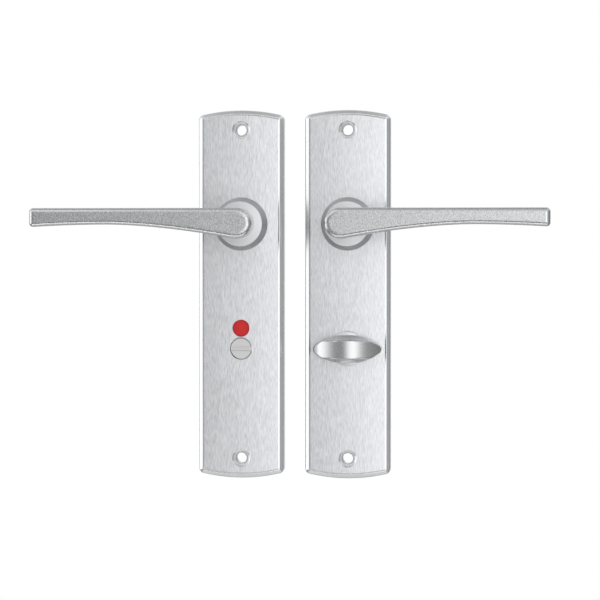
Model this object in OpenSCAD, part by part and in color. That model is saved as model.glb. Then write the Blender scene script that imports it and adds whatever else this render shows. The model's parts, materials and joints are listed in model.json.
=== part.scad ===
// Privacy door lever set: two long plates, each with a sprung lever handle.
// The outside half has a coin turn with an indicator, the inside half a thumb turn.
// Millimetres. X runs across the plates, Y into the door, Z up. The door face is y = 0.
// Depths named d are measured out of the door face, along -Y.

/* [Plates] */
// Width of each plate
plate_w = 43; // [42:0.5:45]
// Height of each plate
plate_h = 186; // [184:1:196]
// Thickness of each plate at its middle
plate_t = 10; // [9.8:0.1:10.2]
// Distance between the two plates' centre lines
plate_spacing = 54; // [52:1:64]
// Radius of the arched top and bottom edges
end_arc_r = 86; // [80:1:100]
// Distance between each plate's two screw holes
screw_spacing = 166; // [164:1:168]
// Diameter of the screw holes
screw_hole_d = 5.4; // [4.8:0.2:5.8]

/* [Levers] */
// Height of the lever axes above the plates' centre
lever_z = 35.5; // [34:0.5:37]
// Length of a lever from its axis to its tip
lever_len = 101; // [95:1:110]
// Distance from the door face to the front of the grips
lever_reach = 51; // [50:0.5:54]
// Travel of a lever in degrees
lever_travel = 40; // [35:1:40]

/* [Privacy turns] */
// Distance from lever axis to privacy axis
axis_spacing = 63; // [62:0.5:64]
// Diameter of the coin turn's face
coin_d = 10.7; // [10.2:0.1:10.7]
// Distance from the coin turn to the indicator window
window_up = 10.3; // [10.1:0.1:10.5]
// Diameter of the indicator window
window_d = 8.3; // [7.6:0.1:8.5]
// Width of the thumb turn
thumb_w = 34.5; // [30:0.5:36]

/* [Spindles] */
// Side of both square spindles
spindle_side = 8; // [7.6:0.1:8]
// Length of the lever spindle
lever_spindle_len = 100; // [90:5:120]
// Length of the privacy spindle
privacy_spindle_len = 60; // [50:5:70]

/* [Hidden] */
$fn = 64;

anodised = [0.80, 0.80, 0.82];
zinc = [0.72, 0.73, 0.75];
spring_steel = [0.45, 0.46, 0.48];
nylon = [0.90, 0.90, 0.87];
red = [0.80, 0.15, 0.15];

outside_x = -plate_spacing / 2;
inside_x = plate_spacing / 2;
turn_z = lever_z - axis_spacing;

// Plate shell
crown_r = 480;
bevel_w = 1.8;
bevel_rise = 1.7;
edge_t = plate_t - 2.05;
corner_r = 2.8;
face_wall = 2.2;
side_wall = 2.2;
face_back = plate_t - face_wall;
pocket_half_h = 77;
corner_x = plate_w / 2 - corner_r;
arc_z = plate_h / 2 - end_arc_r;
corner_up = sqrt(pow(end_arc_r - corner_r, 2) - pow(corner_x, 2));
corner_turn = atan2(corner_up, corner_x);
post_r = 3;
screw_pilot_r = 1.25;

// Lever bearing and hub
hub_r = 8;
running_gap = 0.05;
bush_hole_r = 10;
hub_end = 0.4;
hub_flat = 6.6;
flat_top = 3.3;
collar_base = plate_t + 0.35;
collar_top = collar_base + 6.45;
collar_r1 = 13.5;
collar_r2 = 11.2;
neck_r = 7;
socket_side = spindle_side + 0.1;
socket_end = 32;
grub_d = 13.6;
grub_r = 2.5;
grub_len = 7;

// Grip
root_r = 7.5;
root_x = -1.7;
waist_x = 63;
waist_h = 8.15;
tip_h = 9.4;
tip_r = 1.5;
grip_edge = 1.6;
grip_back_root = lever_reach - 18;
grip_back = lever_reach - 11;
grip_back_tip = lever_reach - 8.5;
blend_x = 20;

// Return spring and its drive
wire_r = 0.6;
coil_r = 10.6;
coil_rear = 3.9;
coil_front = 6.2;
fixed_leg = 120;
coil_turns = 1.9;
arm_mid = 90 - lever_travel / 2;
arm_half = 10.3;
stop_gap = 1.3;
cage_r = 17.1;
cage_in = 15.6;
cage_lug = 21;

// Coin turn
coin_r = coin_d / 2;
barrel_r = 7.9;
barrel_flat = 7.25;
boss_r = 6.6;
indicator_r = 15.2;
strap_back = 2.2;
strap_front = 3.3;
strap_post = 19;
leaf_in = 7.35;
leaf_t = 0.4;

// Thumb turn
stem_r = 6.75;
thumb_base_r = 8.9;
thumb_base = plate_t + 0.35;
thumb_knob = thumb_base + 2;
thumb_front = thumb_base + 14.6;
thumb_h = 14.8;
thumb_crown_r = 20;
flare_r = 18;
thumb_waist = 4.6;

// ---- helpers ----

// Children are drawn with X across, Y up the door and Z out of the door face.
module on_face(x, z) translate([x, 0, z]) rotate([90, 0, 0]) children();

module rod(r, d1, d2) translate([0, 0, d1]) cylinder(r = r, h = d2 - d1);

module ring(r1, r2, d1, d2) difference() {
    rod(r2, d1, d2);
    rod(r1, d1 - 1, d2 + 1);
}

// A bar of square section along the depth.
module square_bar(side, d1, d2) translate([-side / 2, -side / 2, d1]) cube([side, side, d2 - d1]);

// A block between two radii and two angles.
module sector(r1, r2, a1, a2, d1, d2) rotate([0, 0, a1]) translate([0, 0, d1])
    rotate_extrude(angle = a2 - a1) translate([r1, 0]) square([r2 - r1, d2 - d1]);

function unit(v) = v / norm(v);

// A round wire along a path that never runs along Z.
module wire(path, r, sides = 8) {
    last = len(path) - 1;
    points = [for (i = [0:last])
        let (t = unit(path[min(i + 1, last)] - path[max(i - 1, 0)]),
             side = unit(cross(t, [0, 0, 1])), up = cross(side, t))
        for (k = [0:sides - 1]) path[i] + r * (cos(360 * k / sides) * side + sin(360 * k / sides) * up)];
    faces = concat(
        [[for (k = [0:sides - 1]) k]],
        [for (i = [0:last - 1]) for (k = [0:sides - 1])
            [i * sides + k, (i + 1) * sides + k,
             (i + 1) * sides + (k + 1) % sides, i * sides + (k + 1) % sides]],
        [[for (k = [sides - 1:-1:0]) last * sides + k]]);
    polyhedron(points, faces);
}

// ---- plates ----

// The arched and bevelled upper end, with all that lies below it.
module end_arc() {
    translate([0, arc_z, 0]) rotate_extrude($fn = 256) polygon([[0, 0], [end_arc_r, 0], [end_arc_r, edge_t],
        [end_arc_r - 2 * bevel_w, edge_t + 2 * bevel_rise], [0, edge_t + 2 * bevel_rise]]);
    translate([-plate_w, -plate_h, 0]) cube([2 * plate_w, plate_h + arc_z, edge_t + 2 * bevel_rise]);
}

module corner_cut() translate([corner_x, arc_z + corner_up, -1]) difference() {
    linear_extrude(plate_t + 2) polygon([[0, 0], [6, 0], [6, 8], [6 * cos(corner_turn), 6 * sin(corner_turn)]]);
    translate([0, 0, -1]) cylinder(r = corner_r, h = plate_t + 4);
}

// Bevelled on the sides and ends, with a slightly crowned face.
module plate_blank() difference() {
    intersection() {
        rotate([90, 0, 0]) linear_extrude(plate_h + 2, center = true) polygon([
            [-plate_w / 2, 0], [plate_w / 2, 0], [plate_w / 2, edge_t],
            [plate_w / 2 - 2 * bevel_w, edge_t + 2 * bevel_rise],
            [-plate_w / 2 + 2 * bevel_w, edge_t + 2 * bevel_rise], [-plate_w / 2, edge_t]]);
        translate([0, 0, plate_t - crown_r]) rotate([90, 0, 0])
            cylinder(r = crown_r, h = plate_h + 4, center = true, $fn = 720);
        end_arc();
        mirror([0, 1, 0]) end_arc();
    }
    for (sx = [0, 1], sy = [0, 1]) mirror([sx, 0, 0]) mirror([0, sy, 0]) corner_cut();
}

// The parts of a plate that both halves share: pocket, cage posts, lever and screw holes.
module plate_shell() difference() {
    union() {
        difference() {
            plate_blank();
            translate([-plate_w / 2 + side_wall, -pocket_half_h, -1])
                cube([plate_w - 2 * side_wall, 2 * pocket_half_h, face_back + 1]);
        }
        for (s = [-1, 1]) translate([0, lever_z + s * cage_lug, 0]) rod(post_r, 5.6, face_back + 0.5);
    }
    translate([0, lever_z, 0]) rod(bush_hole_r, 5, plate_t + 1);
    for (s = [-1, 1]) {
        translate([0, lever_z + s * cage_lug, 0]) rod(screw_pilot_r, 5, face_back + 0.6);
        translate([0, s * screw_spacing / 2, 0]) {
            rod(screw_hole_d / 2, -1, plate_t + 1);
            translate([0, 0, plate_t - 1.7]) cylinder(r1 = screw_hole_d / 2, r2 = screw_hole_d / 2 + 2, h = 2);
        }
    }
}

module outside_plate() color(anodised) on_face(outside_x, 0) difference() {
    union() {
        plate_shell();
        for (s = [-1, 1]) translate([0, turn_z + s * strap_post, 0]) rod(post_r, strap_front, face_back + 0.5);
    }
    translate([0, turn_z, 0]) rod(coin_r + 0.1, 5, plate_t + 1);
    translate([0, turn_z + window_up, 0]) rod(window_d / 2, 5, plate_t + 1);
    for (s = [-1, 1]) translate([0, turn_z + s * strap_post, 0]) rod(screw_pilot_r, 3, 7);
}

module inside_plate() color(anodised) on_face(inside_x, 0) difference() {
    plate_shell();
    translate([0, turn_z, 0]) rod(stem_r + 1.27, 5, plate_t + 1);
}

// ---- lever bearing, spring cage and return spring, drawn about the lever axis ----

module lever_bush() color(nylon) difference() {
    union() {
        rod(bush_hole_r - 0.02, 7, plate_t - 0.2);
        rod(12.5, 7, face_back);
        rod(9.5, 3.5, 7.2);
    }
    rod(hub_r + running_gap, 3, plate_t + 1);
}

module spring_cage() color(zinc) {
    difference() {
        union() {
            ring(cage_in, cage_r, 2, face_back);
            ring(13, cage_in + 0.5, 7, face_back);
            for (s = [-1, 1]) translate([-4, s < 0 ? -cage_lug - 3.5 : 16, 4.4]) cube([8, cage_lug + 3.5 - 16, 1.2]);
        }
        for (s = [-1, 1]) translate([0, s * cage_lug, 0]) rod(1.4, 4, 6);
    }
    sector(13, 16.2, arm_mid - arm_half - stop_gap - 12, arm_mid - arm_half - stop_gap, 2, 3.4);
    sector(13, 16.2, arm_mid + lever_travel + arm_half + stop_gap,
        arm_mid + lever_travel + arm_half + stop_gap + 12, 2, 3.4);
    sector(13.2, 16.2, fixed_leg + 3.2, fixed_leg + 11, 5.2, 7.2);
}

function coil_point(i, n) =
    let (a = fixed_leg + 360 * coil_turns * i / n)
    [coil_r * cos(a), coil_r * sin(a), coil_front + (coil_rear - coil_front) * i / n];

function leg_point(a, r, d) = [r * cos(a), r * sin(a), d];

// Torsion spring: the front leg bears on the cage, the rear leg on the driver disc's tab.
module return_spring() color(spring_steel) {
    n = 84;
    end_a = fixed_leg + 360 * coil_turns;
    wire(concat(
        [leg_point(fixed_leg - 1, 14.6, coil_front), leg_point(fixed_leg - 0.6, 12.4, coil_front),
         leg_point(fixed_leg + 0.6, 11.2, coil_front)],
        [for (i = [1:n - 1]) coil_point(i, n)],
        [leg_point(end_a - 0.6, 11.2, coil_rear), leg_point(end_a + 0.6, 12.4, coil_rear),
         leg_point(end_a + 1, 14.4, coil_rear)]), wire_r);
}

module driver_disc() color(zinc) {
    difference() {
        union() {
            rod(12.3, 2, 3);
            sector(11.8, 15, arm_mid - arm_half, arm_mid + arm_half, 2, 3);
            sector(12.2, 14.6, arm_mid + 3.5, arm_mid + 10.1, 2.5, 4.6);
        }
        intersection() {
            rod(hub_r + running_gap, 1, 4);
            translate([-10, -hub_flat - running_gap, 1]) cube([20, 2 * (hub_flat + running_gap), 3]);
        }
    }
}

module circlip(groove_r, r, d1, d2) color(spring_steel) difference() {
    union() {
        sector(groove_r + 0.05, r, 110, 430, d1, d2);
        for (a = [108, 72]) rotate([0, 0, a]) translate([r, 0, 0]) rod(1.3, d1, d2);
    }
    for (a = [108, 72]) rotate([0, 0, a]) translate([r, 0, 0]) rod(0.5, d1 - 1, d2 + 1);
    rod(groove_r + 0.05, d1 - 1, d2 + 1);
}

module cage_screw() {
    rod(2.4, 2.8, 4.4);
    rod(1.22, 4.3, face_back + 0.3);
}

module recessed_cage_screw() difference() {
    cage_screw();
    translate([-1.5, -0.25, 2]) cube([3, 0.5, 1.6]);
    translate([-0.25, -1.5, 2]) cube([0.5, 3, 1.6]);
}

// ---- lever ----

// Height of the grip at a distance from the axis: tall at the root, narrowest at the waist.
function grip_h(x) = x < waist_x
    ? waist_h + (2 * root_r - waist_h) * pow(1 - max(x, 0) / waist_x, 1.7)
    : waist_h + (tip_h - waist_h) * pow((x - waist_x) / (lever_len - waist_x), 2);

// Depth of the grip's back: it sweeps out of the neck, then runs almost straight.
function grip_back_d(x) = x < blend_x
    ? grip_back - (grip_back - grip_back_root) * pow((blend_x - max(x, 0)) / blend_x, 2)
    : grip_back + (grip_back_tip - grip_back) * (x - blend_x) / (lever_len - blend_x);

// Stations along the grip: distance from the axis, top edge and bottom edge.
grip_stations = concat(
    [for (a = [10:16:90]) [root_x - root_r * cos(a), root_r * sin(a), -root_r * sin(a)]],
    [for (x = [4:4:lever_len - tip_r - 2]) [x, root_r, root_r - grip_h(x)]],
    [for (a = [0:22.5:90]) let (x = lever_len - tip_r + tip_r * sin(a))
        [x, root_r - tip_r * (1 - cos(a)), root_r - tip_h + tip_r * (1 - cos(a))]]);

grip_loop = concat([for (s = grip_stations) [s[0], s[1]]],
    [for (i = [len(grip_stations) - 1:-1:0]) [grip_stations[i][0], grip_stations[i][2]]]);

// The loop moved inwards by a distance, at right angles to its neighbours.
function inset_loop(p, e) = let (n = len(p)) [for (i = [0:n - 1])
    let (t = unit(p[(i + 1) % n] - p[(i + n - 1) % n])) p[i] + e * [t[1], -t[0]]];

module grip() {
    n = len(grip_loop);
    m = n / 2;
    small = inset_loop(grip_loop, grip_edge);
    points = concat(
        [for (i = [0:n - 1]) [small[i][0], small[i][1], grip_back_d(small[i][0])]],
        [for (i = [0:n - 1]) [grip_loop[i][0], grip_loop[i][1], grip_back_d(small[i][0]) + grip_edge]],
        [for (p = grip_loop) [p[0], p[1], lever_reach - grip_edge]],
        [for (p = small) [p[0], p[1], lever_reach]]);
    faces = concat(
        [for (k = [0:2]) for (i = [0:n - 1])
            [k * n + i, k * n + (i + 1) % n, (k + 1) * n + (i + 1) % n, (k + 1) * n + i]],
        [for (i = [0:m - 2]) [i, n - 1 - i, n - 2 - i, i + 1]],
        [for (i = [0:m - 2]) [3 * n + i, 3 * n + i + 1, 4 * n - 2 - i, 4 * n - 1 - i]]);
    polyhedron(points, faces);
}

// Hub, conical collar, neck and grip in one casting, drawn about the lever axis and pointing along +X.
module lever() color(anodised) difference() {
    union() {
        rod(hub_r, flat_top, collar_base + 0.5);
        intersection() {
            rod(hub_r, hub_end, flat_top + 0.1);
            translate([-10, -hub_flat, 0]) cube([20, 2 * hub_flat, 5]);
        }
        translate([0, 0, collar_base]) cylinder(r1 = collar_r1, r2 = collar_r2, h = collar_top - collar_base);
        rod(neck_r, collar_top - 1, grip_back);
        grip();
    }
    ring(7.4, 12, 0.95, 1.95);
    square_bar(socket_side, 0, socket_end);
    translate([3, 0, grub_d]) rotate([0, 90, 0]) cylinder(r = grub_r, h = 12);
}

// In the collar's side below the grip, where it isn't seen from the front. Drawn pointing along -X.
module grub_screw() color(zinc) translate([0, 0, grub_d]) rotate([0, -90, 0]) difference() {
    translate([0, 0, spindle_side / 2]) cylinder(r = grub_r - 0.02, h = grub_len);
    translate([0, 0, spindle_side / 2 + grub_len - 2.5]) cylinder(r = 1.44, h = 5, $fn = 6);
}

// ---- placing the lever groups: the outside lever points left, the inside one right ----

module at_outside_lever() on_face(outside_x, lever_z) children();
module at_inside_lever() on_face(inside_x, lever_z) mirror([1, 0, 0]) children();

module outside_lever_bush() at_outside_lever() lever_bush();
module inside_lever_bush() at_inside_lever() lever_bush();
module outside_spring_cage() at_outside_lever() spring_cage();
module inside_spring_cage() at_inside_lever() spring_cage();
module outside_return_spring() at_outside_lever() return_spring();
module inside_return_spring() at_inside_lever() return_spring();
module outside_driver_disc() at_outside_lever() driver_disc();
module inside_driver_disc() at_inside_lever() driver_disc();
module outside_circlip() at_outside_lever() circlip(7.4, 9.6, 1, 1.9);
module inside_circlip() at_inside_lever() circlip(7.4, 9.6, 1, 1.9);
module outside_lever() at_outside_lever() mirror([1, 0, 0]) lever();
module inside_lever() on_face(inside_x, lever_z) lever();
module outside_grub_screw() at_outside_lever() grub_screw();
module inside_grub_screw() at_inside_lever() grub_screw();

module cage_screws() color(zinc) for (x = [outside_x, inside_x], s = [-1, 1])
    on_face(x, lever_z + s * cage_lug) recessed_cage_screw();

// Fixed in the outside lever, standing out behind the door face.
module lever_spindle() color(zinc) at_outside_lever()
    square_bar(spindle_side, socket_end - 0.5 - lever_spindle_len, socket_end - 0.5);

// ---- coin turn and indicator, drawn about the privacy axis ----

module coin_turn() color(anodised) on_face(outside_x, turn_z) difference() {
    union() {
        rod(coin_r, 5, plate_t + 0.3);
        intersection() {
            rod(barrel_r, 3.6, 5.9);
            translate([-barrel_flat, -barrel_flat, 3]) cube([2 * barrel_flat, 2 * barrel_flat, 4]);
        }
        rod(boss_r, 0.5, 3.7);
    }
    translate([-10, -1.125, 8.3]) cube([20, 2.25, 5]);
    translate([-6, -8.6, 5.9]) cube([12, 4, 1.1]);
    square_bar(socket_side, 0, 6.3 - 0.4);
}

module indicator_disc() color(nylon) on_face(outside_x, turn_z) difference() {
    rod(indicator_r, 5.95, 6.9);
    difference() {
        rod(coin_r + 0.05, 5, 8);
        translate([-6, -8.65, 4]) cube([12, 4, 5]);
    }
}

module indicator_red_sector() color(red) on_face(outside_x, turn_z)
    sector(coin_r + 0.3, indicator_r, 62, 118, 6.9, 7.4);

// A steel strap that keeps the coin turn in the plate, with two ears for the leaf spring.
module coin_turn_retainer() color(zinc) on_face(outside_x, turn_z) difference() {
    union() {
        rod(14, strap_back, strap_front);
        translate([-4.5, -strap_post - 4, strap_back]) cube([9, 2 * strap_post + 8, strap_front - strap_back]);
        for (s = [0, 1]) mirror([0, s, 0]) translate([leaf_in + leaf_t + 0.1, 8.4, strap_back])
            cube([1.5, 1.5, 5.4 - strap_back]);
    }
    rod(boss_r + 0.08, 1, 4);
    for (s = [-1, 1]) translate([0, s * strap_post, 0]) rod(1.6, 1, 4);
}

module retainer_screws() color(zinc) for (s = [-1, 1]) on_face(outside_x, turn_z + s * strap_post) difference() {
    union() {
        rod(2.6, 0.4, strap_back);
        rod(1.22, strap_back - 0.1, 6.8);
    }
    translate([-1.6, -0.3, 0]) cube([3.2, 0.6, 1.2]);
    translate([-0.3, -1.6, 0]) cube([0.6, 3.2, 1.2]);
}

module coin_detent_spring() color(spring_steel) on_face(outside_x, turn_z)
    translate([0, 0, 3.7]) linear_extrude(1.6) polygon([
        [leaf_in, -10.4], [leaf_in + 2, -10.4], [leaf_in + 2, -10], [leaf_in + leaf_t, -10],
        [leaf_in + leaf_t, 10], [leaf_in + 2, 10], [leaf_in + 2, 10.4], [leaf_in, 10.4]]);

// ---- thumb turn, drawn about the privacy axis ----

// Almond outline, curved front and hollow flanks.
module thumb_knob_solid() {
    lens_r = (pow(thumb_w / 2 + 1, 2) + pow(thumb_h / 2, 2)) / thumb_h;
    difference() {
        intersection() {
            translate([0, 0, thumb_front - thumb_crown_r]) rotate([90, 0, 0])
                cylinder(r = thumb_crown_r, h = 30, center = true);
            translate([0, thumb_h / 2 - lens_r, 0]) rod(lens_r, thumb_knob, thumb_front + 1);
            translate([0, lens_r - thumb_h / 2, 0]) rod(lens_r, thumb_knob, thumb_front + 1);
            translate([-thumb_w / 2, -15, thumb_knob]) cube([thumb_w, 30, 20]);
        }
        for (s = [-1, 1]) translate([0, s * (thumb_waist + flare_r), thumb_front - 3]) rotate([0, 90, 0])
            cylinder(r = flare_r, h = 60, center = true);
    }
}

module thumb_turn() color(anodised) on_face(inside_x, turn_z) difference() {
    union() {
        thumb_knob_solid();
        rod(thumb_base_r, thumb_base, thumb_knob + 0.2);
        rod(stem_r, 1.5, thumb_base + 0.2);
    }
    ring(6.1, 9, 3.2, 4.1);
    square_bar(socket_side, 1, thumb_base - 1);
}

module privacy_spindle() color(zinc) on_face(inside_x, turn_z)
    square_bar(spindle_side, thumb_base - 1.2 - privacy_spindle_len, thumb_base - 1.2);

module thumb_turn_bush() color(nylon) on_face(inside_x, turn_z) difference() {
    union() {
        rod(stem_r + 1.25, 5, plate_t - 0.2);
        rod(10.2, 7, face_back);
    }
    rod(stem_r + running_gap, 4, plate_t + 1);
}

// Three waves, so that it presses the circlip away from the bush.
module thumb_turn_wave_washer() color(spring_steel) on_face(inside_x, turn_z) {
    n = 48;
    t = 0.4;
    points = [for (i = [0:n - 1]) for (c = [[6.9, 0], [8.2, 0], [8.2, t], [6.9, t]])
        let (a = 360 * i / n) [c[0] * cos(a), c[0] * sin(a), 4.35 + c[1] + 0.12 * cos(3 * a)]];
    polyhedron(points, [for (i = [0:n - 1]) for (k = [0:3])
        let (j = (i + 1) % n) [4 * i + k, 4 * i + (k + 1) % 4, 4 * j + (k + 1) % 4, 4 * j + k]]);
}

module thumb_turn_circlip() on_face(inside_x, turn_z) circlip(6.1, 7.9, 3.25, 4.05);

outside_plate();
inside_plate();
outside_lever_bush();
inside_lever_bush();
outside_spring_cage();
inside_spring_cage();
cage_screws();
outside_return_spring();
inside_return_spring();
outside_lever();
outside_grub_screw();
lever_spindle();
outside_driver_disc();
outside_circlip();
inside_lever();
inside_grub_screw();
inside_driver_disc();
inside_circlip();
coin_turn();
indicator_disc();
indicator_red_sector();
coin_turn_retainer();
retainer_screws();
coin_detent_spring();
thumb_turn();
privacy_spindle();
thumb_turn_bush();
thumb_turn_wave_washer();
thumb_turn_circlip();
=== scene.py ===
import json
import math

import bmesh
import bpy
import numpy as np
from mathutils.geometry import delaunay_2d_cdt
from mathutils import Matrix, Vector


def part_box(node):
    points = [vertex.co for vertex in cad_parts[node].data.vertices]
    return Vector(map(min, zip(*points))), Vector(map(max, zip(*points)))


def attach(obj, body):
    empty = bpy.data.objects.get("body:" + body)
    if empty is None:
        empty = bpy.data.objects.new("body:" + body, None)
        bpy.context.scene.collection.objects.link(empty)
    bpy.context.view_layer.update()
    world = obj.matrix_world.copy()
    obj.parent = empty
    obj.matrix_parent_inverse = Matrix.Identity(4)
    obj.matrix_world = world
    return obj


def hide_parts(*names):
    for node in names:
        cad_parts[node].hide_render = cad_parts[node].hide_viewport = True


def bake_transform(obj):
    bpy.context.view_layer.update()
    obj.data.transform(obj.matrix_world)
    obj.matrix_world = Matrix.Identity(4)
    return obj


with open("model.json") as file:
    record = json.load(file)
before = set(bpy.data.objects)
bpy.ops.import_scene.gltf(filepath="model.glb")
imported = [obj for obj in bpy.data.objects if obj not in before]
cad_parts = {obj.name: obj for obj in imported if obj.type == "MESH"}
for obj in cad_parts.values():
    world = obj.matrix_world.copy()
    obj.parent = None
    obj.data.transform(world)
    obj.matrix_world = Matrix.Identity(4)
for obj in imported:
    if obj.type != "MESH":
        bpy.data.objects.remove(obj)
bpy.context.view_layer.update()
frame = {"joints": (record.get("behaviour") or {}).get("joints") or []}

# ---------------- camera, floor and light
# The set is looked at almost square on, a little from the right and above, from far off through
# a long lens, as hardware is shown in a catalogue. A pale round board lies a metre below it. The
# studio is white behind, with a wide soft light just right of the lens and dim walls at the sides.

MM = 0.001
PLATE_FACE = 10.0
FRAME_WIDTH = 303.0
FRAME_CENTRE = (2.93, -2.88)
CAMERA_TURN = math.radians(4.6)
CAMERA_LIFT = math.radians(1.0)
FLOOR_DROP = 1000.0
FLOOR_RADIUS = 700.0
FLOOR_EDGE = 4.0

camera_data = bpy.data.cameras.new("catalogue_camera")
camera_data.lens = 150
camera_data.sensor_width = 36
camera = bpy.data.objects.new("catalogue_camera", camera_data)
bpy.context.scene.collection.objects.link(camera)
bpy.context.scene.camera = camera
camera_reach = FRAME_WIDTH * camera_data.lens / camera_data.sensor_width
level_reach = camera_reach * math.cos(CAMERA_LIFT)
camera.location = (
    (FRAME_CENTRE[0] + level_reach * math.sin(CAMERA_TURN)) * MM,
    -(level_reach * math.cos(CAMERA_TURN) + PLATE_FACE) * MM,
    (FRAME_CENTRE[1] + camera_reach * math.sin(CAMERA_LIFT)) * MM,
)
camera.rotation_euler = (math.pi / 2 - CAMERA_LIFT, 0, CAMERA_TURN)
bpy.context.scene.view_settings.view_transform = "Standard"


def colour(paint):
    """Linear RGBA of an sRGB hex colour. A channel c up to 0.04045 is c / 12.92, and above that
    ((c + 0.055) / 1.055) to the power 2.4."""
    channels = [int(paint[i : i + 2], 16) / 255 for i in (1, 3, 5)]
    linear = [c / 12.92 if c <= 0.04045 else ((c + 0.055) / 1.055) ** 2.4 for c in channels]
    return (*linear, 1.0)


def add_node(tree, kind, inputs=(), **settings):
    """One shader node. settings are its own fields, inputs are values or outputs for its sockets."""
    made = tree.nodes.new(kind)
    for name, value in settings.items():
        setattr(made, name, value)
    for socket, value in dict(inputs).items():
        if isinstance(value, bpy.types.NodeSocket):
            tree.links.new(value, made.inputs[socket])
        else:
            made.inputs[socket].default_value = value
    return made


def grey_ramp(tree, source, stops):
    """A colour ramp of greys. stops are (position, brightness) in rising order."""
    made = add_node(tree, "ShaderNodeValToRGB", {"Fac": source})
    elements = made.color_ramp.elements
    while len(elements) < len(stops):
        elements.new(0.5)
    for element, (position, grey) in zip(elements, stops, strict=True):
        element.position = position
        element.color = (grey, grey, grey, 1)
    return made.outputs["Color"]


studio = bpy.data.worlds.new("soft_studio")
bpy.context.scene.world = studio
studio.use_nodes = True
room = studio.node_tree
room.nodes.clear()
toward = add_node(room, "ShaderNodeTexCoord").outputs["Generated"]
toward = add_node(room, "ShaderNodeSeparateXYZ", {"Vector": toward})
nearness = add_node(room, "ShaderNodeMath", {0: toward.outputs["Y"], 1: -1.0}, operation="MULTIPLY")
bearing = add_node(
    room, "ShaderNodeMath", {0: toward.outputs["X"], 1: nearness.outputs[0]}, operation="ARCTAN2"
)
half_turns = {"Value": bearing.outputs[0], "From Min": -math.pi, "From Max": math.pi}
bearing = add_node(room, "ShaderNodeMapRange", half_turns).outputs["Result"]
down_to_up = {"Value": toward.outputs["Z"], "From Min": -1.0}
height = add_node(room, "ShaderNodeMapRange", down_to_up).outputs["Result"]
# Half a turn to each side of the lens: 0.25 is full left, 0.5 the lens, 0.75 full right.
walls = grey_ramp(room, bearing, [
    (0.0, 1.0), (0.11, 0.35), (0.17, 0.4), (0.2, 1.2), (0.235, 2.1), (0.292, 1.8), (0.333, 1.25),
    (0.381, 0.6), (0.417, 0.44), (0.472, 0.42), (0.492, 0.95), (0.508, 1.5), (0.528, 1.95),
    (0.56, 2.0), (0.58, 1.7), (0.6, 1.2), (0.633, 0.7), (0.667, 0.5), (0.778, 0.36),
    (0.861, 0.28), (0.931, 0.5), (1.0, 1.0),
])
# Straight down is 0, level 0.5, straight up 1. The walls count only in a belt about level.
bands = grey_ramp(room, height, [
    (0.0, 0.45), (0.08, 0.45), (0.2, 0.25), (0.3, 0.5), (0.42, 0.95), (0.5, 1.0), (0.66, 1.05),
    (0.82, 1.0), (0.93, 0.8), (1.0, 0.5),
])
belt = grey_ramp(room, height, [(0.26, 0.0), (0.38, 1.0), (0.62, 1.0), (0.74, 0.0)])


def blend(tree, share, first, second):
    """A colour mix. The node takes colours in its seventh and eighth sockets, and its third output
    gives one."""
    made = add_node(tree, "ShaderNodeMix", {0: share, 6: first, 7: second}, data_type="RGBA")
    return made.outputs[2]


around = blend(room, belt, bands, walls)
ray = add_node(room, "ShaderNodeLightPath").outputs["Is Camera Ray"]
background = add_node(room, "ShaderNodeBackground", {"Color": blend(room, ray, around, (1, 1, 1, 1))})
add_node(room, "ShaderNodeOutputWorld", {"Surface": background.outputs["Background"]})


def lamp(name, shape, size, energy, place):
    """A soft area lamp of (width, height) in metres and some watts, turned towards the set."""
    data = bpy.data.lights.new(name, "AREA")
    data.shape = shape
    data.size, data.size_y = size
    data.energy = energy
    made = bpy.data.objects.new(name, data)
    bpy.context.scene.collection.objects.link(made)
    made.location = place
    made.rotation_euler = (-made.location).to_track_quat("-Z", "Y").to_euler()
    made.visible_camera = False


# The softbox gives the shadows, the strip the bright line along the lower edge of the grips.
lamp("upper_left_softbox", "DISK", (0.7, 0.7), 0.6, (-0.55, -0.75, 0.85))
lamp("low_front_strip", "RECTANGLE", (1.8, 0.2), 2.4, (0.0, -0.55, -0.9))


def material(name, base, roughness, metallic=0.0):
    """A new material with its principled shader, base colour as hex."""
    made = bpy.data.materials.new(name)
    made.use_nodes = True
    tree = made.node_tree
    tree.nodes.clear()
    sockets = {"Base Color": colour(base), "Roughness": roughness, "Metallic": metallic}
    shader = add_node(tree, "ShaderNodeBsdfPrincipled", sockets)
    add_node(tree, "ShaderNodeOutputMaterial", {"Surface": shader.outputs["BSDF"]})
    return made, tree, shader


def pattern(tree, size_mm, detail=2.0):
    """A noise on object coordinates, whose grains are size_mm = (across, deep, upright) millimetres.
    Its usual span, 0.3 to 0.7, is stretched to 0 to 1."""
    place = add_node(tree, "ShaderNodeTexCoord").outputs["Object"]
    grains = tuple(1 / (size * MM) for size in size_mm)
    scaled = add_node(tree, "ShaderNodeMapping", {"Vector": place, "Scale": grains}).outputs["Vector"]
    noise = add_node(tree, "ShaderNodeTexNoise", {"Vector": scaled, "Scale": 1.0, "Detail": detail})
    span = {"Value": noise.outputs["Fac"], "From Min": 0.3, "From Max": 0.7}
    return add_node(tree, "ShaderNodeMapRange", span).outputs["Result"]


def vary(tree, socket, source, base, swing):
    """The shader's colour wanders about a hex colour by a share of its brightness, as the source does."""
    low, high = ((*(c * (1 + turn) for c in colour(base)[:3]), 1) for turn in (-swing, swing))
    tree.links.new(blend(tree, source, low, high), socket)


def wander(tree, socket, source, low, high):
    """A number goes from low to high as the source goes from 0 to 1."""
    spread = add_node(tree, "ShaderNodeMapRange", {"Value": source, "To Min": low, "To Max": high})
    tree.links.new(spread.outputs["Result"], socket)


def roughen(tree, shader, source, depth_mm):
    """A bump of that depth in millimetres on the shader's normal."""
    bump = add_node(tree, "ShaderNodeBump", {"Height": source, "Distance": depth_mm * MM, "Strength": 1.0})
    tree.links.new(bump.outputs["Normal"], shader.inputs["Normal"])


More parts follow.
